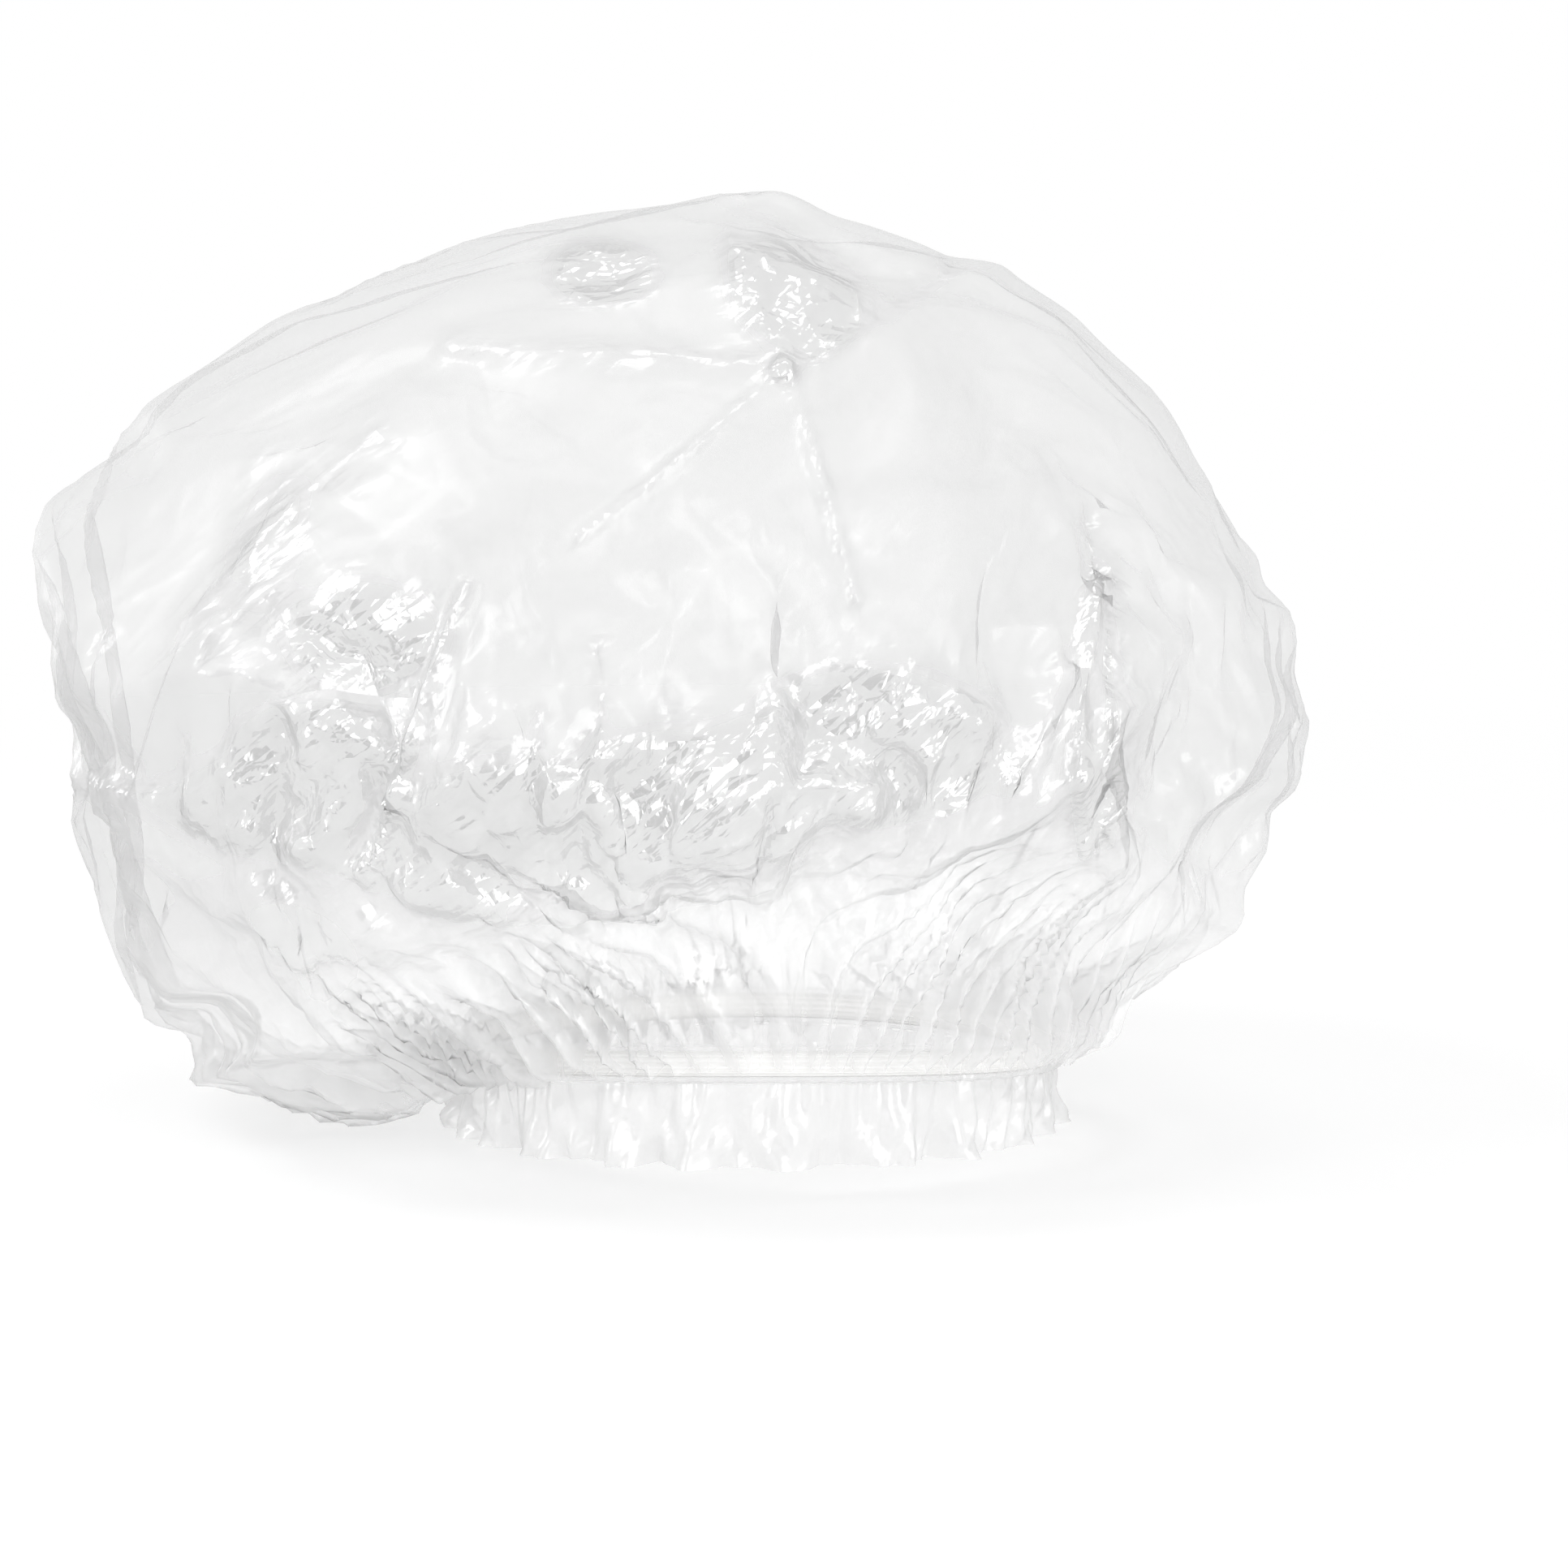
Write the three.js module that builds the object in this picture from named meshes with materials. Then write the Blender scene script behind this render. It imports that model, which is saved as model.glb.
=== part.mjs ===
// Disposable shower cap, puffed up as it sits over hair.
// A round of clear film is gathered at its rim: the rim is folded over an elastic loop and sealed into
// a casing, and what is left of the rim stands out below the casing as a frill.
// The cap is parted at x = 0 into a left and a right half, so that the hem can be pulled open sideways.
// Millimetres, +Z up. The origin is the centre of the opening, and -Y is the front.

import * as THREE from "three";

// Hem: the elastic loop and the casing folded round it
const HEM_RADIUS = 57; // from the axis to the middle of the elastic
const HEM_FRONT_LIFT = 10; // the hem rides this much higher at the front than at the back
const ELASTIC_WIDTH = 5; // up and down
const ELASTIC_THICKNESS = 1.2; // in and out
const ELASTIC_CORNER = 0.4; // bevel along its four edges
const ELASTIC_PLAY = 0.3; // clearance between the elastic and its casing, all round
const CASING_WALL = 0.6; // gathered film, folded double
const SEAM_GAP = 0.3; // between the casing and each edge that is sealed to it
const PARTING_GAP = 0.3; // between the left and the right half

// Frill: the free edge of the film below the casing
const FRILL_WALL = 0.4;
const FRILL_HEIGHT = 9; // at the back
const FRILL_FRONT_DROP = 7; // how much longer it hangs at the front
const FRILL_SWING = 3; // in and out at the free edge
const FRILL_RUFFLES = 22; // round the whole hem

// Crown: one puffed sheet of film from the top of the cap down to the hem
const FILM_WALL = 0.4;
const CROWN_HEIGHT = 165; // from the hem's centre to the top
const CROWN_TAPER = 1.27; // 1 gives an elliptical crown, more gives straighter slopes
const FOLD_COUNT = 16; // gathers that run up from the hem
const FOLD_DEPTH = 3;
const LOBE_COUNT = 5; // slow swells round the widest part
const LOBE_DEPTH = 2.5;

// Crumples: three sets of creased folds that cross one another below the crown.
// Each has its number round the cap, its lean from hem to top and its start in radians, and its depth.
const CREASE_SHARPNESS = 0.985; // 1 gives knife edges, less gives rounder ones
const LEVEL_FOLDS = 2;
const LEVEL_LEAN = 14.5;
const LEVEL_START = 4.2;
const LEVEL_DEPTH = 2.4;
const SLANT_FOLDS = 7;
const SLANT_LEAN = 9;
const SLANT_START = 2.2;
const SLANT_DEPTH = 3.4;
const CROSS_FOLDS = 11;
const CROSS_LEAN = -17;
const CROSS_START = 5;
const CROSS_DEPTH = 2.4;

// Greatest reach of the film from the axis on each side, and its height
const RIGHT_PUFF = 100;
const BACK_PUFF = 112;
const LEFT_PUFF = 137;
const FRONT_PUFF = 100;
const RIGHT_PUFF_HEIGHT = 72;
const BACK_PUFF_HEIGHT = 88;
const LEFT_PUFF_HEIGHT = 95;
const FRONT_PUFF_HEIGHT = 75;

// How far the film falls below its widest part before it turns in
const RIGHT_FALL = 37;
const BACK_FALL = 68;
const LEFT_FALL = 90;
const FRONT_FALL = 27;

// Where the film comes from as it reaches the hem: out from it, and above it or, if negative, below it
const RIGHT_TUCK_OUT = 18;
const BACK_TUCK_OUT = 28;
const LEFT_TUCK_OUT = 35;
const FRONT_TUCK_OUT = 9;
const RIGHT_TUCK_UP = 17;
const BACK_TUCK_UP = -8;
const LEFT_TUCK_UP = -30;
const FRONT_TUCK_UP = 35;

// Facets over half a turn and up the sheets
const FILM_STEPS = 2 * FOLD_COUNT;
const HEM_STEPS = 32;
const FRILL_STEPS = 3 * FRILL_RUFFLES;
const FILM_ROWS = 16;
const FRILL_ROWS = 2;

// Angles turn from +X by way of the back: each half starts at one of these and covers half a turn
const LEFT_HALF_START = Math.PI / 2;
const RIGHT_HALF_START = -Math.PI / 2;

// Sizes that follow from the driving ones
const boreWidth = ELASTIC_WIDTH + 2 * ELASTIC_PLAY;
const boreThickness = ELASTIC_THICKNESS + 2 * ELASTIC_PLAY;
const boreCorner = ELASTIC_CORNER + ELASTIC_PLAY;
const casingWidth = boreWidth + 2 * CASING_WALL;
const casingThickness = boreThickness + 2 * CASING_WALL;
const casingCorner = boreCorner + CASING_WALL;
const filmEdgeRadius = HEM_RADIUS + casingThickness / 2 + SEAM_GAP + FILM_WALL / 2;

const filmMaterial = new THREE.MeshStandardMaterial({
  color: 0xf1f4f5,
  roughness: 0.12,
  metalness: 0,
  transparent: true,
  opacity: 0.3,
});
const gatheredMaterial = filmMaterial.clone();
gatheredMaterial.opacity = 0.5; // doubled and gathered, so it lets less through
const elasticMaterial = new THREE.MeshStandardMaterial({ color: 0xeeece6, roughness: 0.7, metalness: 0 });

// A point at an angle round the axis
function around(angle, radius, height) {
  return new THREE.Vector3(radius * Math.cos(angle), radius * Math.sin(angle), height);
}

// 0 at the back, 1 at the front
function frontness(angle) {
  return ((1 - Math.sin(angle)) / 2) ** 2;
}

// Height of the middle of the hem
function hemHeight(angle) {
  return HEM_FRONT_LIFT * frontness(angle);
}

// A size that is given for the four sides, at any angle between them
function sizeAt(angle, right, back, left, front) {
  const mean = (right + back + left + front) / 4;
  const sideways = ((right - left) / 2) * Math.cos(angle);
  const lengthways = ((back - front) / 2) * Math.sin(angle);
  const oval = ((right + left - back - front) / 4) * Math.cos(2 * angle);
  return mean + sideways + lengthways + oval;
}

// The film's profile at one angle, without folds, as radius and height.
// share runs from 0 at the hem by way of 0.5 at the widest part to 1 at the top.
function profilePoint(angle, share) {
  const puff = new THREE.Vector2(
    sizeAt(angle, RIGHT_PUFF, BACK_PUFF, LEFT_PUFF, FRONT_PUFF),
    sizeAt(angle, RIGHT_PUFF_HEIGHT, BACK_PUFF_HEIGHT, LEFT_PUFF_HEIGHT, FRONT_PUFF_HEIGHT),
  );
  if (share > 0.5) {
    const climb = Math.PI * (share - 0.5);
    const rise = (CROWN_HEIGHT - puff.y) * Math.sin(climb) ** CROWN_TAPER;
    return new THREE.Vector2(puff.x * Math.cos(climb), puff.y + rise);
  }
  const hem = new THREE.Vector2(filmEdgeRadius, hemHeight(angle));
  const tuck = new THREE.Vector2(
    hem.x + sizeAt(angle, RIGHT_TUCK_OUT, BACK_TUCK_OUT, LEFT_TUCK_OUT, FRONT_TUCK_OUT),
    hem.y + sizeAt(angle, RIGHT_TUCK_UP, BACK_TUCK_UP, LEFT_TUCK_UP, FRONT_TUCK_UP),
  );
  const fall = new THREE.Vector2(
    puff.x,
    puff.y - sizeAt(angle, RIGHT_FALL, BACK_FALL, LEFT_FALL, FRONT_FALL),
  );
  return new THREE.CubicBezierCurve(hem, tuck, fall, puff).getPoint(2 * share);
}

// A wave with flat flanks and sharp ridges and valleys, from -1 to 1
function creased(turn) {
  return (2 / Math.PI) * Math.asin(CREASE_SHARPNESS * Math.cos(turn));
}

// The film with its folds: gathers that are deepest above the hem, swells round the widest part, and crumples.
// All die out at the hem and at the top.
function filmPoint(angle, share) {
  const profile = profilePoint(angle, share);
  const gathers = FOLD_DEPTH * Math.sin(Math.PI * (1 - share) ** 2) ** 2;
  const swells = LOBE_DEPTH * Math.sin(Math.PI * share) ** 2;
  const crumples = Math.sin(Math.PI * (1 - share) ** 1.3) ** 2;
  const level = LEVEL_DEPTH * creased(LEVEL_FOLDS * angle + LEVEL_LEAN * share + LEVEL_START);
  const slant = SLANT_DEPTH * creased(SLANT_FOLDS * angle + SLANT_LEAN * share + SLANT_START);
  const cross = CROSS_DEPTH * creased(CROSS_FOLDS * angle + CROSS_LEAN * share + CROSS_START);
  const folds =
    gathers * Math.cos(FOLD_COUNT * angle) +
    swells * Math.cos(LOBE_COUNT * angle) +
    crumples * (level + slant + cross);
  return around(angle, profile.x + folds, profile.y);
}

// The frill, from 0 at its free edge to 1 at the casing
function frillPoint(angle, share) {
  const top = hemHeight(angle) - casingWidth / 2 - SEAM_GAP;
  const height = FRILL_HEIGHT + FRILL_FRONT_DROP * frontness(angle);
  const ruffle = FRILL_SWING * (1 - share) * Math.cos(FRILL_RUFFLES * angle);
  return around(angle, HEM_RADIUS + ruffle, top - height * (1 - share));
}

// The way out of a surface at one of its points, from two short steps along it.
// On the axis, where every angle meets, it is straight up.
function outward(surface, angle, share) {
  const step = 1e-3;
  const { x, y } = surface(angle, share);
  if (Math.hypot(x, y) < step) return new THREE.Vector3(0, 0, 1);
  const middle = THREE.MathUtils.clamp(share, step, 1 - step);
  const round = surface(angle + step, middle).sub(surface(angle - step, middle));
  const up = surface(angle, middle + step).sub(surface(angle, middle - step));
  return round.cross(up).normalize();
}

// A grid of points over half a turn, as columns that go round and hold rows that go up
function halfTurnGrid(start, steps, rows, pointAt) {
  return Array.from({ length: steps + 1 }, (_, i) =>
    Array.from({ length: rows + 1 }, (_, j) => pointAt(start + (Math.PI * i) / steps, j / rows)),
  );
}

// The quads of a grid, facing out of columns that go round and rows that go up
function gridQuads(grid) {
  return grid
    .slice(1)
    .flatMap((column, i) =>
      column.slice(1).map((point, j) => [grid[i][j], column[j], point, grid[i][j + 1]]),
    );
}

// A geometry from quads. Where two corners of a quad fall together, it becomes one triangle.
function quadGeometry(quads) {
  const same = 1e-6;
  const triangles = quads.flatMap(([a, b, c, d]) => [
    [a, b, c],
    [a, c, d],
  ]);
  const whole = triangles.filter(
    ([a, b, c]) => a.distanceTo(b) > same && b.distanceTo(c) > same && c.distanceTo(a) > same,
  );
  return new THREE.BufferGeometry().setFromPoints(whole.flat());
}

// The skin of a wall between two grids, with its two ends closed.
// The inner quads are turned round so that both layers keep the same diagonals, and the wall its thickness.
function wallQuads(outer, inner) {
  return [
    ...gridQuads(outer),
    ...gridQuads(inner).map(([a, b, c, d]) => [a, d, c, b]),
    ...gridQuads(outer[0].map((point, j) => [point, inner[0][j]])),
    ...gridQuads(outer.at(-1).map((point, j) => [inner.at(-1)[j], point])),
  ];
}

// Half of a sheet whose middle is surface(angle, share), with its lower and upper edges closed
function sheetHalf(surface, start, steps, rows, wall) {
  const layer = (offset) =>
    halfTurnGrid(start, steps, rows, (angle, share) =>
      surface(angle, share).addScaledVector(outward(surface, angle, share), offset),
    );
  const outer = layer(wall / 2);
  const inner = layer(-wall / 2);
  return quadGeometry([
    ...wallQuads(outer, inner),
    ...gridQuads(outer.map((column, i) => [inner[i][0], column[0]])),
    ...gridQuads(outer.map((column, i) => [column.at(-1), inner[i].at(-1)])),
  ]);
}

// A flat strip's section with bevelled corners, as offsets in radius and height, closed on itself
function stripSection(thickness, width, corner) {
  const x = thickness / 2;
  const y = width / 2;
  const quarter = [
    [x, y - corner],
    [x - corner, y],
  ];
  const half = [...quarter, ...quarter.toReversed().map(([across, up]) => [-across, up])];
  const loop = [...half, ...half.map(([across, up]) => [-across, -up])];
  return [...loop, loop[0]].map(([across, up]) => new THREE.Vector2(across, up));
}

// Half of a ring along the hem, between an outer and an inner section of as many points
function ringHalf(outerSection, innerSection, start) {
  const sweep = (section) =>
    halfTurnGrid(start, HEM_STEPS, section.length - 1, (angle, share) => {
      const offset = section[Math.round(share * (section.length - 1))];
      return around(angle, HEM_RADIUS + offset.x, hemHeight(angle) + offset.y);
    });
  return quadGeometry(wallQuads(sweep(outerSection), sweep(innerSection)));
}

const elasticSection = stripSection(ELASTIC_THICKNESS, ELASTIC_WIDTH, ELASTIC_CORNER);
const boreSection = stripSection(boreThickness, boreWidth, boreCorner);
const casingSection = stripSection(casingThickness, casingWidth, casingCorner);
const coreSection = elasticSection.map(() => new THREE.Vector2(0, 0));

// One half of the cap, from the crown down
function capHalf(side, start) {
  const half = new THREE.Group();
  const add = (name, geometry, material) => {
    const mesh = new THREE.Mesh(geometry, material);
    mesh.name = `${name}_${side}`;
    half.add(mesh);
  };
  add("crown_film", sheetHalf(filmPoint, start, FILM_STEPS, FILM_ROWS, FILM_WALL), filmMaterial);
  add("hem_casing", ringHalf(casingSection, boreSection, start), gatheredMaterial);
  add("elastic_band", ringHalf(elasticSection, coreSection, start), elasticMaterial);
  add("hem_frill", sheetHalf(frillPoint, start, FRILL_STEPS, FRILL_ROWS, FRILL_WALL), gatheredMaterial);
  half.position.x = (Math.cos(start + Math.PI / 2) * PARTING_GAP) / 2;
  return half;
}

const showerCap = new THREE.Group();
showerCap.name = "shower_cap";
showerCap.add(capHalf("left", LEFT_HALF_START), capHalf("right", RIGHT_HALF_START));

export default showerCap;
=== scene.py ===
from math import cos, pi, radians, sin

import bpy
import numpy as np
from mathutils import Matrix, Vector
from mathutils.geometry import delaunay_2d_cdt


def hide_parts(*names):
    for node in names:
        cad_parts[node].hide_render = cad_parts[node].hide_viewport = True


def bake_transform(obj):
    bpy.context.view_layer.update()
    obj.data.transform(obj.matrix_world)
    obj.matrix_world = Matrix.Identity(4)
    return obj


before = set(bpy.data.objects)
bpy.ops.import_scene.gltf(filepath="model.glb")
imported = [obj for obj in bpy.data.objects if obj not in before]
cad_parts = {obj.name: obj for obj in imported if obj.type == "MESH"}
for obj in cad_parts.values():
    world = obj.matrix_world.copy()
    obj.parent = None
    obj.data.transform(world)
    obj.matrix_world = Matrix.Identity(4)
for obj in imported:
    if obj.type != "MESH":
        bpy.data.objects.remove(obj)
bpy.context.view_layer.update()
scene = bpy.context.scene
scene.view_settings.view_transform = "Standard"
bpy.ops.object.select_all(action="DESELECT")

# Camera: a long lens, level with the cap's middle and a little above it, so that the hem is just seen
# from over its front edge.
PHOTO_PIXELS = 1932
METRES_PER_PIXEL = 0.155e-3
CAMERA_DISTANCE = 1.6
CAMERA_ELEVATION = radians(9)
CAMERA_TARGET = Vector((0.0056, 0.0082, 0.0519))
view_forward = Vector((0, cos(CAMERA_ELEVATION), -sin(CAMERA_ELEVATION)))
view_up = Vector((0, sin(CAMERA_ELEVATION), cos(CAMERA_ELEVATION)))
camera_place = CAMERA_TARGET - CAMERA_DISTANCE * view_forward
bpy.ops.object.camera_add(location=camera_place)
camera = bpy.context.object
camera.rotation_euler = view_forward.to_track_quat("-Z", "Y").to_euler()
camera.data.sensor_width = 36
camera.data.lens = camera.data.sensor_width * CAMERA_DISTANCE / (PHOTO_PIXELS * METRES_PER_PIXEL)
camera.data.clip_end = 20
scene.camera = camera

# Crown film: one round of clear polythene, about 0.02 mm thick and 540 mm across, puffed up over the hair.
# Its rim is drawn in to the hem, so it falls in fine gathers there and in crumples and packing creases above.
FILM_EDGE_RADIUS = 0.059
HEM_FRONT_LIFT = 0.010
CROWN_HEIGHT = 0.165
CROWN_TAPER = 1.27
PUFF = (0.100, 0.112, 0.137, 0.100)
PUFF_HEIGHT = (0.072, 0.088, 0.095, 0.075)
FALL = (0.037, 0.068, 0.090, 0.027)
TUCK_OUT = (0.018, 0.028, 0.035, 0.009)
TUCK_UP = (0.017, -0.008, -0.030, 0.035)
LOBE_COUNT = 5
LOBE_DEPTH = 0.0025
FOLD_COUNT = 16
FOLD_DEPTH = 0.003
CREASE_SHARPNESS = 0.985
LEVEL_FOLDS, LEVEL_LEAN, LEVEL_START, LEVEL_DEPTH = 2, 14.5, 4.2, 0.0024
SLANT_FOLDS, SLANT_LEAN, SLANT_START, SLANT_DEPTH = 7, 9, 2.2, 0.0034
CROSS_FOLDS, CROSS_LEAN, CROSS_START, CROSS_DEPTH = 11, -17, 5, 0.0024
FLAT_SIZE = 0.54
FIRST_GRID = 39
SPREAD_ROOM = 0.0022
BACK_EASE = 0.0025
RIGHT_EASE = 0.9
FACET_CELLS = 900


def on_four_sides(angle, sizes):
    """A size given at the right, back, left and front, smoothly carried round."""
    right, back, left, front = sizes
    mean = (right + back + left + front) / 4
    sideways = (right - left) / 2 * np.cos(angle)
    lengthways = (back - front) / 2 * np.sin(angle)
    oval = (right + left - back - front) / 4 * np.cos(2 * angle)
    return mean + sideways + lengthways + oval


def hem_height(angle):
    return HEM_FRONT_LIFT * ((1 - np.sin(angle)) / 2) ** 2


def film_profile(angle, share):
    """Radius and height of the puffed film; share is 0 at the top, 0.5 where it is widest, 1 at the hem."""
    puff = on_four_sides(angle, PUFF)
    puff_z = on_four_sides(angle, PUFF_HEIGHT)
    climb = pi * np.clip(share, 0, 0.5)
    upper_r = puff * np.sin(climb)
    upper_z = puff_z + (CROWN_HEIGHT - puff_z) * np.clip(np.cos(climb), 0, 1) ** CROWN_TAPER
    t = np.clip(2 * share - 1, 0, 1)
    hem_z = hem_height(angle)
    fall_z = puff_z - on_four_sides(angle, FALL)
    tuck_r = FILM_EDGE_RADIUS + on_four_sides(angle, TUCK_OUT)
    tuck_z = hem_z + on_four_sides(angle, TUCK_UP)
    lower_r = (1 - t) ** 2 * (1 + 2 * t) * puff + 3 * (1 - t) * t ** 2 * tuck_r + t ** 3 * FILM_EDGE_RADIUS
    lower_z = (1 - t) ** 3 * puff_z + 3 * (1 - t) ** 2 * t * fall_z
    lower_z = lower_z + 3 * (1 - t) * t ** 2 * tuck_z + t ** 3 * hem_z
    below = share > 0.5
    return np.where(below, lower_r, upper_r), np.where(below, lower_z, upper_z)


def get_points(piece):
    points = np.empty(len(piece.data.vertices) * 3)
    piece.data.vertices.foreach_get("co", points)
    return points.reshape(-1, 3)


def set_points(piece, points):
    piece.data.vertices.foreach_set("co", np.ascontiguousarray(points).ravel())
    piece.data.update()


def get_normals(piece):
    normals = np.empty(len(piece.data.vertices) * 3)
    piece.data.vertex_normals.foreach_get("vector", normals)
    return normals.reshape(-1, 3)


def get_flat(piece):
    """Where each point lies on the flat round, from the piece's own map: -1 to 1 across."""
    corners = np.empty(len(piece.data.loops), np.int32)
    piece.data.loops.foreach_get("vertex_index", corners)
    flat = np.empty(len(corners) * 2)
    piece.data.uv_layers.active.data.foreach_get("uv", flat)
    found = np.empty((len(piece.data.vertices), 2))
    found[corners] = flat.reshape(-1, 2)
    return found


def creased(turn):
    """A wave with flat flanks and sharp ridges and valleys, from -1 to 1."""
    return 2 / pi * np.arcsin(CREASE_SHARPNESS * np.cos(turn))


def rise(value, low, high):
    """0 below low, 1 above high, smooth between."""
    t = np.clip((value - low) / (high - low), 0, 1)
    return t * t * (3 - 2 * t)


def on_photo(points):
    """The photograph's pixel at which the camera sees each point."""
    offset = points - np.array(camera_place)
    pixels = CAMERA_DISTANCE / METRES_PER_PIXEL / (offset @ np.array(view_forward))
    return np.stack([offset[:, 0] * pixels, -(offset @ np.array(view_up)) * pixels], 1) + PHOTO_PIXELS / 2


def zone(seen, centre, half):
    """1 in the middle of an oval patch of the photograph, 0 outside it."""
    return 1 - rise(np.hypot(*((seen - np.array(centre)) / np.array(half)).T), 0.5, 1.2)


def calm(piece):
    """1 on the two panels of the front that stay smooth, the middle of the crown and its upper left."""
    seen = on_photo(get_points(piece))
    panels = zone(seen, (985, 620), (330, 210)) + zone(seen, (560, 560), (200, 150))
    return np.clip(panels, 0, 1) * rise(-(get_normals(piece) @ np.array(view_forward)), -0.1, 0.1)


# The round is a square net of points, pushed out into a disc, then laid on the puffed form along its profiles.
bpy.ops.mesh.primitive_grid_add(x_subdivisions=FIRST_GRID, y_subdivisions=FIRST_GRID, size=2)
film = bpy.context.object
film.name = "crown_film"
square = get_points(film)[:, :2]
far_axis = np.abs(square[:, 0]) > np.abs(square[:, 1])
reach = np.where(far_axis, square[:, 0], square[:, 1])
other = np.where(far_axis, square[:, 1], square[:, 0])
slant = np.divide(other, reach, out=np.zeros_like(reach), where=np.abs(reach) > 1e-9) * pi / 4
turn = np.where(far_axis, slant, pi / 2 - slant)
disc = np.stack([reach * np.cos(turn), reach * np.sin(turn)], 1)
corners = np.empty(len(film.data.loops), np.int32)
film.data.loops.foreach_get("vertex_index", corners)
film.data.uv_layers.active.data.foreach_set("uv", disc[corners].ravel())


def profile_shares(flat):
    """How far down its profile each point of the round comes, with the film's own length kept."""
    out = np.hypot(flat[:, 0], flat[:, 1])
    angle = np.arctan2(flat[:, 1], flat[:, 0])
    steps = np.linspace(0, 1, 241)
    sectors = np.linspace(-pi, pi, 361)
    runs = []
    for sector in sectors:
        r, z = film_profile(np.full_like(steps, sector), steps)
        runs.append(np.concatenate([[0], np.cumsum(np.hypot(np.diff(r), np.diff(z)))]))
    runs = np.array(runs)
    place = (angle + pi) / (2 * pi) * (len(sectors) - 1)
    sector = np.clip(np.round(place).astype(int), 0, len(sectors) - 1)
    share = np.zeros(len(flat))
    length = runs[sector, -1]
    for k in np.unique(sector):
        here = sector == k
        share[here] = np.interp(out[here] * runs[k, -1], runs[k], steps)
    return angle, share, out * length


angle, share, arc = profile_shares(disc)
radius, height = film_profile(angle, share)
swell = LOBE_DEPTH * np.sin(pi * share) ** 2 * np.cos(LOBE_COUNT * angle)
gather = FOLD_DEPTH * np.sin(pi * share ** 2) ** 2 * np.cos(FOLD_COUNT * angle)
level = LEVEL_DEPTH * creased(LEVEL_FOLDS * angle + LEVEL_LEAN * (1 - share) + LEVEL_START)
slant = SLANT_DEPTH * creased(SLANT_FOLDS * angle + SLANT_LEAN * (1 - share) + SLANT_START)
cross = CROSS_DEPTH * creased(CROSS_FOLDS * angle + CROSS_LEAN * (1 - share) + CROSS_START)
radius = radius + swell + gather + np.sin(pi * share ** 1.3) ** 2 * (level + slant + cross)
set_points(film, np.stack([radius * np.cos(angle), radius * np.sin(angle), height], 1))
inset = SPREAD_ROOM * rise(share, 0.02, 0.25) * (1 - rise(share, 0.85, 0.98))
inset = inset * (1 - RIGHT_EASE * rise(np.cos(angle), 0.2, 0.8) * rise(share, 0.2, 0.3))
inset = inset + BACK_EASE * np.clip(np.sin(angle) + 0.4, 0, 1) * rise(share, 0.02, 0.12) * (1 - rise(share, 0.28, 0.42))
set_points(film, get_points(film) - get_normals(film) * inset[:, None])
hem_group = film.vertex_groups.new(name="hem")
loose_group = film.vertex_groups.new(name="loose")


def crumple(piece, spare, hold, frames, most):
    """Lets the film spread by its spare share of length, held near its form, so that it buckles into creases."""
    start = get_points(piece)
    out = np.hypot(*get_flat(piece).T)
    for i, edge in enumerate(out > 0.9999):
        hem_group.add([i], 1.0 if edge else hold, "REPLACE")
        loose_group.add([i], 1 - float(spare[i]), "REPLACE")
    bpy.context.view_layer.objects.active = piece
    cloth = piece.modifiers.new("crumple", "CLOTH")
    cloth.settings.quality = 6
    cloth.settings.mass = 0.004
    cloth.settings.tension_stiffness = 60
    cloth.settings.compression_stiffness = 60
    cloth.settings.shear_stiffness = 15
    cloth.settings.bending_stiffness = 0.02
    cloth.settings.tension_damping = 4
    cloth.settings.compression_damping = 4
    cloth.settings.shear_damping = 4
    cloth.settings.vertex_group_mass = "hem"
    cloth.settings.pin_stiffness = 0.02
    cloth.settings.vertex_group_shrink = "loose"
    cloth.settings.shrink_min = -1.0
    cloth.settings.shrink_max = 0.0
    cloth.settings.effector_weights.gravity = 0
    cloth.point_cache.frame_start = 1
    cloth.point_cache.frame_end = frames
    for step in range(1, frames + 1):
        scene.frame_set(step)
    bpy.ops.object.modifier_apply(modifier=cloth.name)
    scene.frame_set(1)
    move = get_points(piece) - start
    far = np.linalg.norm(move, axis=1, keepdims=True)
    set_points(piece, start + move * np.minimum(1, most / np.maximum(far, 1e-9)))


def refine(piece, kind):
    bpy.context.view_layer.objects.active = piece
    piece.modifiers.new("finer", "SUBSURF").subdivision_type = kind
    bpy.ops.object.modifier_apply(modifier="finer")


rng = np.random.default_rng(5)
STARTLE = 0.0006
FLUTTER = 24
NOTCH_PULL = 0.06
NOTCH_LIFT = 0.004
LOBE_LIFT = 0.005
set_points(film, get_points(film) + rng.normal(0, STARTLE, (len(disc), 3)) * (1 - rise(share, 0.9, 0.95))[:, None])
low = rise(share, 0.36, 0.56) * (1 - 0.8 * rise(share, 0.72, 0.90))
crumple(film, 0.006 + 0.05 * low * (1 - calm(film)), 0.5, 20, 0.003)
refine(film, "CATMULL_CLARK")
angle, share, arc = profile_shares(get_flat(film))
low = rise(share, 0.36, 0.56) * (1 - 0.6 * rise(share, 0.72, 0.90))
crumple(film, 0.004 + 0.10 * low * (1 - calm(film)), 0.5, 18, 0.0035)
refine(film, "CATMULL_CLARK")

# Towards the hem the spare film is drawn into fine upright gathers, deeper the more there is of it.
GATHERS = 74
RIM_DEPTH = 0.0018
flat = get_flat(film)
angle, share, arc = profile_shares(flat)
radius, height = film_profile(angle, share)
spare = np.maximum(arc / np.maximum(radius, 1e-4), 1)
pleat_waves = [(wave, rng.uniform(0.9, 2.4), rng.uniform(0, 2 * pi)) for wave in (4, 6, 9, 11)]


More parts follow.
